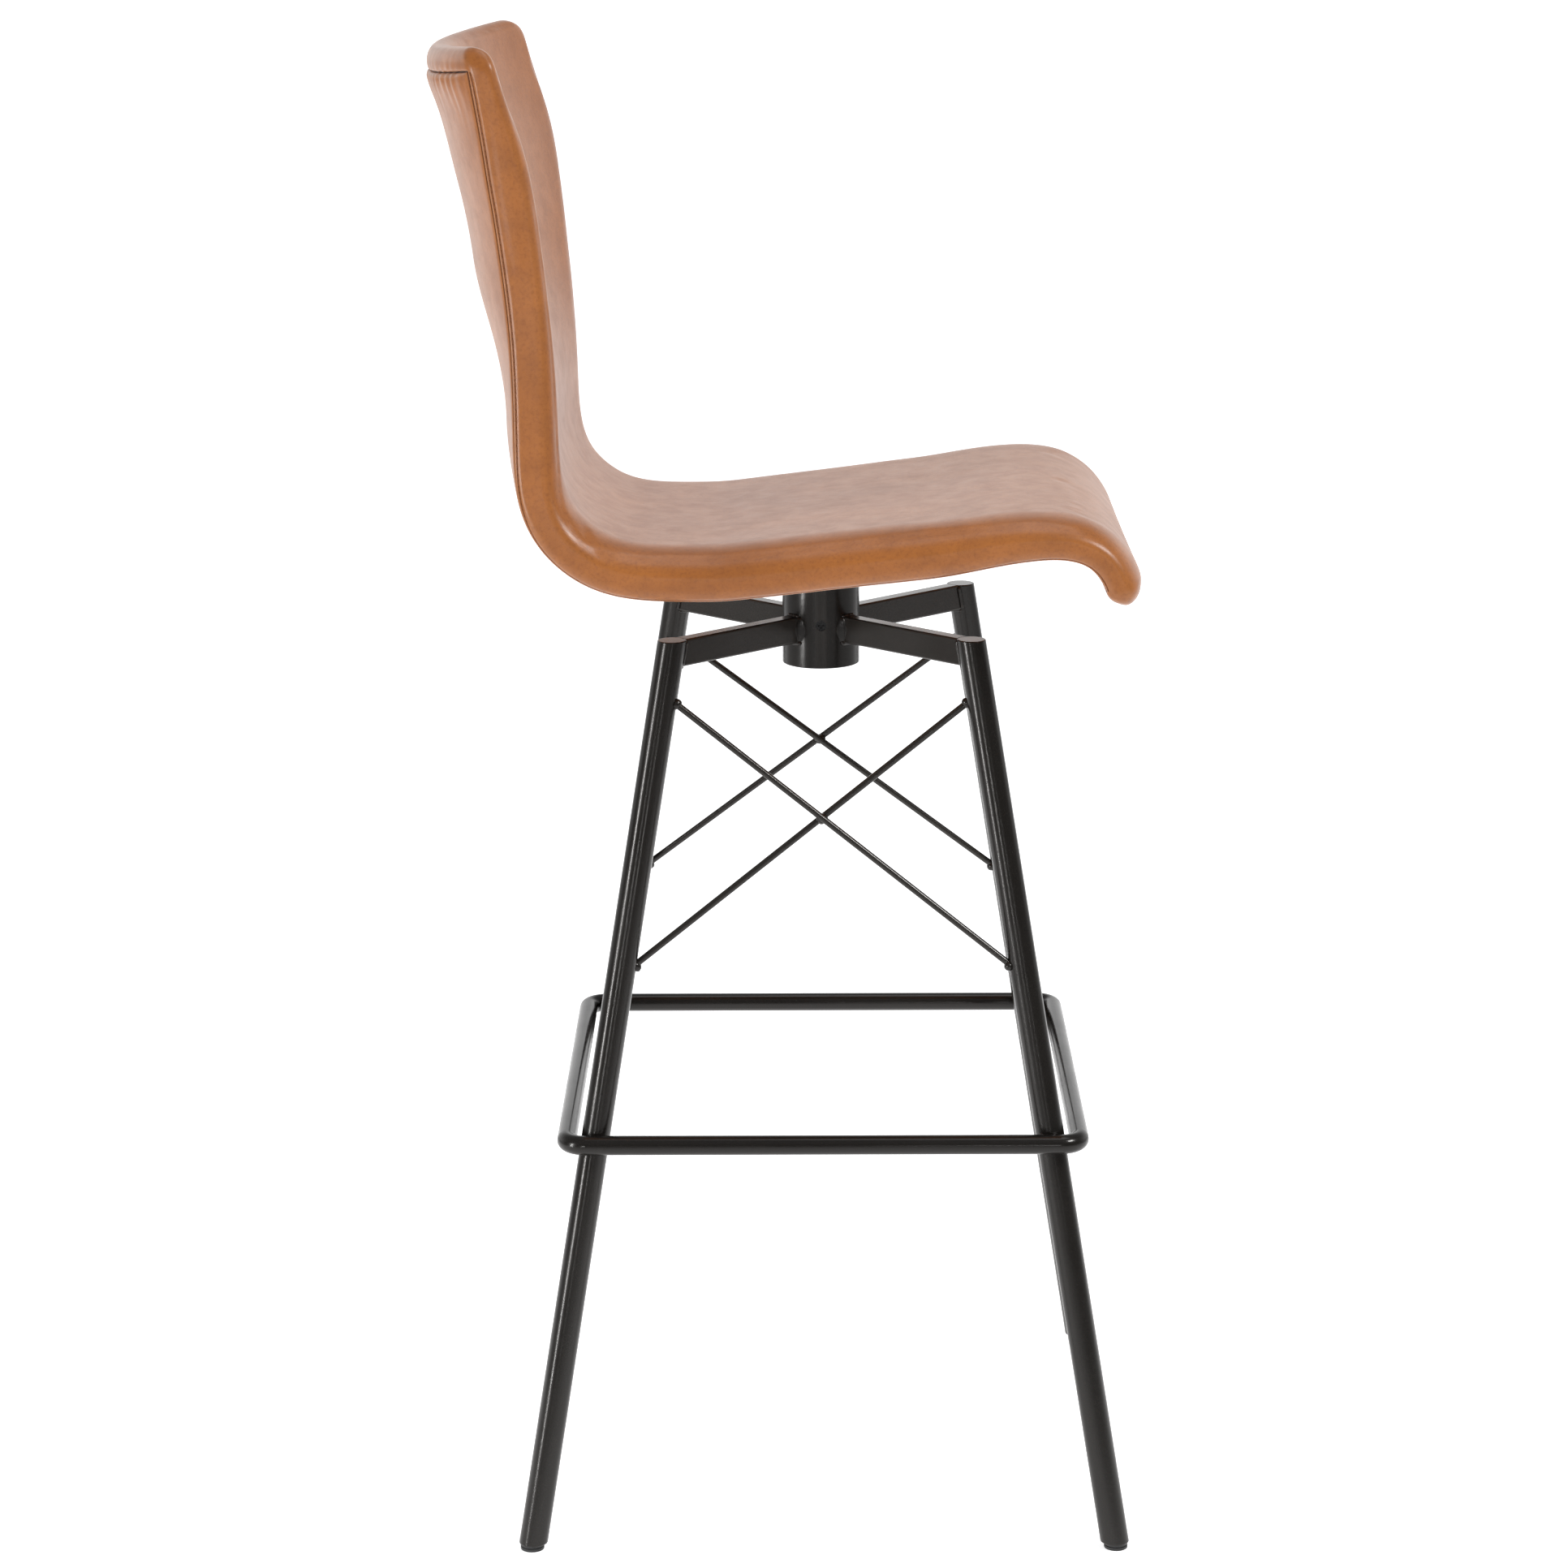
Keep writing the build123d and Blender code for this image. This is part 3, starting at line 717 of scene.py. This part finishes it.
def make_arm_welds():
    """Beads above and below each arm at the hub and round its end at the leg, and the fillets."""
    hub_low, hub_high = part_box("hub_tube")
    centre = (hub_low + hub_high) / 2
    hub_radius = (hub_high.x - hub_low.x) / 2
    rim = math.sqrt(hub_radius**2 - ARM_HALF**2) + BEAD_LIFT
    back = math.sqrt(LEG_RADIUS**2 - ARM_HALF**2)
    wide = ARM_HALF + UNDER_OVERHANG
    aside = ARM_HALF + LEG_BEAD_OFFSET
    inset, drop = Vector((0, 0, LEG_BEAD_INSET)), Vector((0, 0, LEG_BEAD_DROP))
    above, under, at_leg = [], [], []
    for corner, sx, sy in CORNERS:
        way, across, low, high = arm_frame(corner, sx, sy)

        def at(offset, reach, z):
            spot = centre + way * reach + across * offset
            return Vector((spot.x, spot.y, z))

        above.append([at(-ARM_HALF, rim, high), at(0, hub_radius, high + BEAD_LIFT), at(ARM_HALF, rim, high)])
        under.append([at(-wide, rim, low), at(0, hub_radius, low - BEAD_LIFT), at(wide, rim, low)])
        leg_low, leg_top = leg_centre(corner, sx, sy, low), leg_centre(corner, sx, sy, high)
        for offset in (-aside, aside):
            step = across * offset - way * back
            at_leg.append([leg_low + step + inset, leg_top + step - inset])
        at_leg.append([
            leg_low + across * offset - way * (LEG_RADIUS + LEG_BEAD_DROP - abs(offset) * 0.3) - drop
            for offset in (-ARM_HALF, -ARM_HALF / 2, 0, ARM_HALF / 2, ARM_HALF)
        ])
    return [bead(above, "hub_arm_welds", HUB_BEAD), bead(under, "hub_arm_lower_welds", UNDER_BEAD),
            bead(at_leg, "leg_arm_welds", LEG_BEAD), make_hub_fillets(centre, hub_radius)]


def make_hub_fillets(centre, hub_radius):
    """Hollow weld fillets in the corners between the hub and the sides of the arms."""
    start = math.asin(ARM_HALF / hub_radius)
    corner_reach = hub_radius * math.cos(start)
    turn = start + FILLET / hub_radius
    foot = Vector((hub_radius * math.sin(turn), hub_radius * math.cos(turn)))
    middle = Vector((ARM_HALF, foot.y + (foot.x - ARM_HALF) * math.tan(turn)))
    end = Vector((ARM_HALF, corner_reach + FILLET))
    root = Vector((ARM_HALF - FILLET_ROOT, corner_reach - FILLET_ROOT))
    steps = [k / FILLET_STEPS for k in range(FILLET_STEPS + 1)]
    section = [foot.lerp(middle, t).lerp(middle.lerp(end, t), t) for t in steps]
    points, faces = [], []
    for corner, sx, sy in CORNERS:
        way, across, low, high = arm_frame(corner, sx, sy)
        for side in (-1, 1):
            base = len(points)
            for k in range(FILLET_ROWS + 1):
                share = k / FILLET_ROWS
                size = FILLET_END + (1 - FILLET_END) * math.sin(math.pi * share) ** 0.5
                height = low + (high - low) * share
                for spot in [root] + [root.lerp(q, size) for q in section]:
                    flat = across * spot.x * side + way * spot.y
                    points.append(Vector((centre.x + flat.x, centre.y + flat.y, height)))
            faces += tube_faces(base, FILLET_ROWS + 1, len(section) + 1)
    return weld_piece("hub_arm_fillets", points, faces)


def rod_line(node):
    """The two ends of a brace rod's middle line, from the extent of its mesh."""
    spots = np.array([v.co for v in nodes[node].data.vertices])
    middle = spots.mean(0)
    axes = np.linalg.svd(spots - middle, full_matrices=False)[2]
    run = (spots - middle) @ axes[0]
    low, high = spots[run < run.min() + 0.004].mean(0), spots[run > run.max() - 0.004].mean(0)
    return Vector(low), Vector(high)


def make_rod_welds():
    """A lump of weld at both ends of each brace rod, and one where two rods cross."""
    ends, ways, crossings, cross_ways = [], [], [], []
    for side in ("front", "left", "rear", "right"):
        pair = [rod_line(f"brace_rod_{side}_{which}") for which in ("outer", "inner")]
        for a, b in pair:
            way = (b - a).normalized()
            ends += [a + way * ROD_WELD_INSET, b - way * ROD_WELD_INSET]
            ways += [way, way]
        (a, b), (c, d) = pair
        near, other = intersect_line_line(a, b, c, d)
        crossings.append((near + other) / 2)
        cross_ways.append((b - a).normalized() + (c - d).normalized())
    return [blob("rod_end_welds", ends, ways, ROD_WELD_LENGTH, ROD_WELD_RADIUS),
            blob("rod_crossing_welds", crossings, cross_ways, CROSSING_LENGTH, CROSSING_RADIUS)]


def make_ring_welds():
    """Weld between each leg and the footrest's side bar that runs along it."""
    low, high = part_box("footrest_ring")
    z = (low.z + high.z) / 2
    lines = []
    for corner, sx, sy in CORNERS:
        leg = leg_centre(corner, sx, sy, z)
        touch = Vector((leg.x, leg.y + sy * (LEG_RADIUS - BEAD_LIFT), z))
        for lift in (RING_WELD_RISE, -RING_WELD_RISE):
            lines.append([touch + Vector((-RING_WELD_REACH, 0.0, lift)),
                          touch + Vector((0, sy * RING_WELD_BOW, lift)),
                          touch + Vector((RING_WELD_REACH, 0.0, lift))])
    return [bead(lines, "footrest_welds", RING_BEAD)]


# ---- finishes -----------------------------------------------------------------


LEATHER_DEEP = (0.325, 0.105, 0.020)
LEATHER_LIGHT = (0.405, 0.137, 0.028)
LEATHER_DARK = (0.18, 0.054, 0.012)
LEATHER_WORN = (0.55, 0.27, 0.12)
# Painted shade: dark colour put into hollows, seams, tucks and stitched grooves.
LEATHER_PAINTED_SHADE = (0.09, 0.028, 0.010)
STEEL_DARK, STEEL_BRIGHT = (0.012, 0.0102, 0.0085), (0.045, 0.04, 0.035)
STEEL_ROUGH = (0.18, 0.26)
THREAD_LIGHT, THREAD_DARK = (0.24, 0.08, 0.024), (0.2, 0.064, 0.02)


def node_material(name):
    """A new material with its node tree, its shader and the object's own coordinates."""
    material = bpy.data.materials.new(name)
    material.use_nodes = True
    tree = material.node_tree
    shader = tree.nodes["Principled BSDF"]
    where = tree.nodes.new("ShaderNodeTexCoord").outputs["Object"]
    return material, tree, shader, where


def noise(tree, where, scale, detail=4.0, rough=0.55, distort=0.0):
    """Noise from 0 to 1."""
    node = tree.nodes.new("ShaderNodeTexNoise")
    node.inputs["Scale"].default_value = scale
    node.inputs["Detail"].default_value = detail
    node.inputs["Roughness"].default_value = rough
    node.inputs["Distortion"].default_value = distort
    tree.links.new(where, node.inputs["Vector"])
    return node.outputs["Fac"]


def ramp(tree, value, stops):
    """Colour that runs through (place, colour) stops as the value rises."""
    node = tree.nodes.new("ShaderNodeValToRGB")
    elements = node.color_ramp.elements
    while len(elements) < len(stops):
        elements.new(0.5)
    for element, (place, colour) in zip(elements, stops):
        element.position = place
        element.color = (*colour, 1)
    tree.links.new(value, node.inputs["Fac"])
    return node.outputs["Color"]


def rescaled(tree, value, low, high, start=0.0, end=1.0):
    """Value from start to end, mapped to low to high."""
    node = tree.nodes.new("ShaderNodeMapRange")
    node.inputs["From Min"].default_value = start
    node.inputs["From Max"].default_value = end
    node.inputs["To Min"].default_value = low
    node.inputs["To Max"].default_value = high
    tree.links.new(value, node.inputs["Value"])
    return node.outputs["Result"]


def mixed(tree, share, first, second, kind="MIX"):
    """Two colours mixed by a share; each may be a socket or a plain value."""
    node = tree.nodes.new("ShaderNodeMix")
    node.data_type = "RGBA"
    node.blend_type = kind
    for socket, value in ((node.inputs[0], share), (node.inputs[6], first), (node.inputs[7], second)):
        if hasattr(value, "links"):
            tree.links.new(value, socket)
        elif isinstance(value, tuple):
            socket.default_value = (*value, 1)
        else:
            socket.default_value = value
    return node.outputs[2]


def bumped(tree, shader, heights):
    """Chain of bumps: (height, strength, distance in metres)."""
    last = None
    for height, strength, distance in heights:
        node = tree.nodes.new("ShaderNodeBump")
        node.inputs["Strength"].default_value = strength
        node.inputs["Distance"].default_value = distance
        tree.links.new(height, node.inputs["Height"])
        if last is not None:
            tree.links.new(last, node.inputs["Normal"])
        last = node.outputs["Normal"]
    tree.links.new(last, shader.inputs["Normal"])


def leather_material():
    """Waxed tan leather: soft clouds, fine speckle and pores, pale edges, and painted shade that darkens hollows,
    seams and grooves.
    """
    material, tree, shader, where = node_material("tan_leather")
    clouds = noise(tree, where, 7.0, 4.0, 0.6, 0.6)
    mottle = noise(tree, where, 55.0, 6.0, 0.65, 0.3)
    speckle = noise(tree, where, 420.0, 3.0, 0.6)
    base = ramp(tree, clouds, [(0.3, LEATHER_DEEP), (0.7, LEATHER_LIGHT)])
    base = mixed(tree, rescaled(tree, mottle, 0.0, 0.4, 0.42, 0.75), base, LEATHER_DARK)
    base = mixed(tree, rescaled(tree, speckle, 0.0, 0.45, 0.48, 0.75), base, LEATHER_DARK)
    edges = tree.nodes.new("ShaderNodeNewGeometry").outputs["Pointiness"]
    base = mixed(tree, rescaled(tree, edges, 0.0, 0.35, 0.505, 0.56), base, LEATHER_WORN)
    # Painted shade: concave hollows are darkened, where shade falls.
    base = mixed(tree, rescaled(tree, edges, 0.5, 0.0, 0.42, 0.495), base, LEATHER_PAINTED_SHADE)
    # Painted shade in the seams, tucks and stitched grooves, from the mask made with each cover; the specular
    # level is lowered there too.
    painted_seam_shade = tree.nodes.new("ShaderNodeAttribute")
    painted_seam_shade.attribute_name = "painted_seam_shade"
    base = mixed(tree, rescaled(tree, painted_seam_shade.outputs["Fac"], 0.0, 0.9, 0.5, 0.9), base, LEATHER_PAINTED_SHADE)
    tree.links.new(base, shader.inputs["Base Color"])
    shine = rescaled(tree, painted_seam_shade.outputs["Fac"], 0.5, 0.05, 0.4, 0.8)
    tree.links.new(shine, shader.inputs["Specular IOR Level"])
    tree.links.new(rescaled(tree, mottle, 0.3, 0.37, 0.3, 0.7), shader.inputs["Roughness"])
    shader.inputs["IOR"].default_value = 1.5
    shader.inputs["Sheen Weight"].default_value = 0.16
    shader.inputs["Sheen Roughness"].default_value = 0.35
    shader.inputs["Sheen Tint"].default_value = (1.0, 0.9, 0.86, 1)
    grain = tree.nodes.new("ShaderNodeTexVoronoi")
    grain.feature = "DISTANCE_TO_EDGE"
    grain.inputs["Scale"].default_value = 760
    tree.links.new(where, grain.inputs["Vector"])
    pores = rescaled(tree, grain.outputs["Distance"], 0.0, 1.0, 0.0, 0.22)
    soft = noise(tree, where, 38.0, 3.0, 0.5)
    bumped(tree, shader, [(soft, 0.22, 0.0012), (mottle, 0.13, 0.0004), (pores, 0.22, 0.0001)])
    return material


def steel_material():
    """Satin powder coat: fine orange peel, a little metallic sparkle, rubbed edges."""
    material, tree, shader, where = node_material("bronze_powder_coat")
    sparkle = noise(tree, where, 1500.0, 2.0, 0.7)
    clouds = noise(tree, where, 24.0, 4.0, 0.6)
    base = mixed(tree, rescaled(tree, sparkle, 0.0, 0.6, 0.58, 0.74), STEEL_DARK, STEEL_BRIGHT)
    edges = tree.nodes.new("ShaderNodeNewGeometry").outputs["Pointiness"]
    base = mixed(tree, rescaled(tree, edges, 0.0, 0.5, 0.52, 0.62), base, STEEL_BRIGHT)
    tree.links.new(base, shader.inputs["Base Color"])
    tree.links.new(rescaled(tree, clouds, *STEEL_ROUGH, 0.3, 0.7), shader.inputs["Roughness"])
    shader.inputs["Metallic"].default_value = 0.3
    peel = noise(tree, where, 620.0, 2.0, 0.5)
    bumped(tree, shader, [(peel, 0.15, 0.0002), (sparkle, 0.1, 0.0001)])
    return material


def plain_material(name, colour, second, rough, metallic=0.0, grain=300.0, depth=0.0001):
    """Two close colours in a fine grain, with a roughness and bump that follow it."""
    material, tree, shader, where = node_material(name)
    clouds = noise(tree, where, grain, 4.0, 0.6)
    base = mixed(tree, rescaled(tree, clouds, 0.0, 1.0, 0.35, 0.7), colour, second)
    tree.links.new(base, shader.inputs["Base Color"])
    tree.links.new(rescaled(tree, clouds, rough * 0.85, rough * 1.15, 0.3, 0.7), shader.inputs["Roughness"])
    shader.inputs["Metallic"].default_value = metallic
    bumped(tree, shader, [(clouds, 0.2, depth)])
    return material


def wood_material():
    """Plywood with its layers as bands."""
    material, tree, shader, where = node_material("plywood")
    bands = tree.nodes.new("ShaderNodeTexWave")
    bands.bands_direction = "Z"
    bands.inputs["Scale"].default_value = 90
    bands.inputs["Distortion"].default_value = 2.0
    tree.links.new(where, bands.inputs["Vector"])
    base = ramp(tree, bands.outputs["Fac"], [(0.2, (0.35, 0.22, 0.12)), (0.8, (0.6, 0.44, 0.27))])
    tree.links.new(base, shader.inputs["Base Color"])
    shader.inputs["Roughness"].default_value = 0.65
    bumped(tree, shader, [(bands.outputs["Fac"], 0.2, 0.0002)])
    return material


def paint(piece, material):
    """Put the material in every material slot of the piece."""
    slots = piece.material_slots
    if not len(slots):
        piece.data.materials.append(material)
    for slot in slots:
        slot.material = material


def finish_all(covers, thread, welds):
    """A material on every piece, and on every CAD node by its slot in the record."""
    leather = leather_material()
    steel = steel_material()
    for piece in covers:
        paint(piece, leather)
    paint(thread, plain_material("thread", THREAD_LIGHT, THREAD_DARK, 0.8, 0, 900.0))
    for piece in welds:
        paint(piece, steel)
    glide = plain_material("glide_plastic", (0.012, 0.012, 0.012), (0.022, 0.022, 0.022), 0.5)
    bush = plain_material("bush_plastic", (0.55, 0.54, 0.5), (0.62, 0.61, 0.57), 0.45)
    zinc = plain_material("zinc_plate", (0.45, 0.45, 0.46), (0.56, 0.56, 0.57), 0.32, 1.0)
    black = plain_material("blackened_steel", (0.003, 0.003, 0.003), (0.006, 0.006, 0.006), 0.28, 0.2)
    foam = plain_material("foam", (0.8, 0.72, 0.55), (0.7, 0.62, 0.45), 0.9, 0, 250.0, 0.0006)
    wood = wood_material()
    by_slot = {"frame_steel": steel, "glide_plastic": glide, "bush_plastic": bush,
               "fastener_steel": zinc, "plywood": wood, "foam": foam, "leather": leather}
    for row in frame["record"]["subparts"]:
        paint(nodes[row["node"]], by_slot[row["material_slot"]])
    paint(nodes["retaining_screw"], black)
    paint(nodes["plate_bolts"], black)


# ---- studio -------------------------------------------------------------------


CAMERA_PLACE = (0.01332, -3.17547, 1.29296)
CAMERA_ANGLES = (13.503, -0.237, -0.2314)   # looking down, to the left and tilted, in degrees
CAMERA_LENS, CAMERA_SENSOR = 98.41, 36


def make_camera():
    """A long lens at the height of the back, looking a little down on the stool's right side."""
    pitch, yaw, roll = (math.radians(angle) for angle in CAMERA_ANGLES)
    look = Vector((math.sin(yaw) * math.cos(pitch), math.cos(yaw) * math.cos(pitch), -math.sin(pitch)))
    side = Vector((math.cos(yaw), -math.sin(yaw), 0))
    over = side.cross(look)
    right = side * math.cos(roll) + over * math.sin(roll)
    up = over * math.cos(roll) - side * math.sin(roll)
    camera = bpy.data.objects.new("camera", bpy.data.cameras.new("camera"))
    bpy.context.scene.collection.objects.link(camera)
    rows = [(*row, at) for row, at in zip(zip(right, up, -look), CAMERA_PLACE)]
    camera.matrix_world = Matrix(rows + [(0, 0, 0, 1)])
    camera.data.sensor_width = CAMERA_SENSOR
    camera.data.lens = CAMERA_LENS
    bpy.context.scene.camera = camera


# Name, place, height it is aimed at on the middle line, size, and power in watts.
SOFT_BOXES = (
    ("overhead", (0.3, 0.2, 3.3), 0.6, (2.0, 1.4), 14),
    ("key", (2.1, -1.5, 2.7), 0.8, (0.9, 0.6), 60),
    ("left_strip", (-2.5, -1.7, 0.78), 0.65, (0.22, 1.5), 42),
    ("low_left", (-0.95, -3.1, 0.6), 0.8, (0.16, 0.3), 4),
    ("low_right", (0.5, -3.3, 0.6), 0.8, (0.16, 0.3), 2.5),
)
FLOOR_HALF = 30


def area_light(name, place, target, size, power):
    """Rectangular soft box aimed at a point."""
    data = bpy.data.lights.new(name, "AREA")
    data.shape = "RECTANGLE"
    data.size, data.size_y = size
    data.energy = power
    light = bpy.data.objects.new(name, data)
    bpy.context.scene.collection.objects.link(light)
    light.location = place
    light.rotation_mode = "QUATERNION"
    light.rotation_quaternion = (Vector(target) - Vector(place)).to_track_quat("-Z", "Y")


def make_studio():
    """White floor and backdrop, a dimmer room behind the camera, and soft boxes."""
    world = bpy.data.worlds.new("studio")
    bpy.context.scene.world = world
    world.use_nodes = True
    tree = world.node_tree
    background = tree.nodes["Background"]
    split = tree.nodes.new("ShaderNodeSeparateXYZ")
    tree.links.new(tree.nodes.new("ShaderNodeTexCoord").outputs["Generated"], split.inputs[0])
    room = ramp(tree, rescaled(tree, split.outputs["Y"], 0.0, 1.0, -1.0, 1.0), [
        (0.0, (0.14, 0.14, 0.14)), (0.5, (0.24, 0.24, 0.24)), (0.68, (1, 1, 1)), (1.0, (1.25, 1.25, 1.25)),
    ])
    sky = rescaled(tree, split.outputs["Z"], 0.0, 1.0, 0.28, 0.62)
    room = mixed(tree, sky, room, (0.3, 0.3, 0.31))
    seen = tree.nodes.new("ShaderNodeLightPath").outputs["Is Camera Ray"]
    tree.links.new(mixed(tree, seen, room, (1.0, 1.0, 1.0)), background.inputs["Color"])
    background.inputs["Strength"].default_value = 1.0
    for name, place, target_height, size, power in SOFT_BOXES:
        area_light(name, place, (0, 0, target_height), size, power)
    make_floor()
    bpy.context.scene.view_settings.view_transform = "Standard"


def make_floor():
    """White floor that glows more towards the back and less to the sides."""
    half = FLOOR_HALF
    floor = new_piece("floor", [(-half, -half, 0), (half, -half, 0), (half, half, 0), (-half, half, 0)],
                      [[0, 1, 2, 3]])
    material, tree, shader, where = node_material("floor")
    split = tree.nodes.new("ShaderNodeSeparateXYZ")
    tree.links.new(where, split.inputs[0])
    shader.inputs["Base Color"].default_value = (0.8, 0.8, 0.8, 1)
    shader.inputs["Roughness"].default_value = 0.8
    shader.inputs["Specular IOR Level"].default_value = 0.0
    shader.inputs["Emission Color"].default_value = (1, 1, 1, 1)
    glow = ramp(tree, rescaled(tree, split.outputs["Y"], 0.0, 1.0, -1.6, 0.4), [
        (0.0, (0, 0, 0)), (0.3, (0.25, 0.25, 0.25)), (0.6, (0.65, 0.65, 0.65)), (1.0, (0.95, 0.95, 0.95)),
    ])
    near = tree.nodes.new("ShaderNodeMath")
    near.operation = "ABSOLUTE"
    tree.links.new(split.outputs["X"], near.inputs[0])
    far = rescaled(tree, split.outputs["Y"], 1.1, 9.0, -0.8, 20.0)
    spread = tree.nodes.new("ShaderNodeMath")
    spread.operation = "DIVIDE"
    tree.links.new(near.outputs[0], spread.inputs[0])
    tree.links.new(far, spread.inputs[1])
    sides = rescaled(tree, spread.outputs[0], 1.0, 0.1, 0.9, 1.6)
    glow = mixed(tree, 1.0, glow, sides, "MULTIPLY")
    tree.links.new(glow, shader.inputs["Emission Strength"])
    paint(floor, material)


make_camera()
make_studio()
front, back, where, outward, top_row, front_row = make_covers()
thread = make_stitches(where, outward, top_row, front_row)
welds = make_arm_welds() + make_rod_welds() + make_ring_welds()
finish_all([front, back], thread, welds)
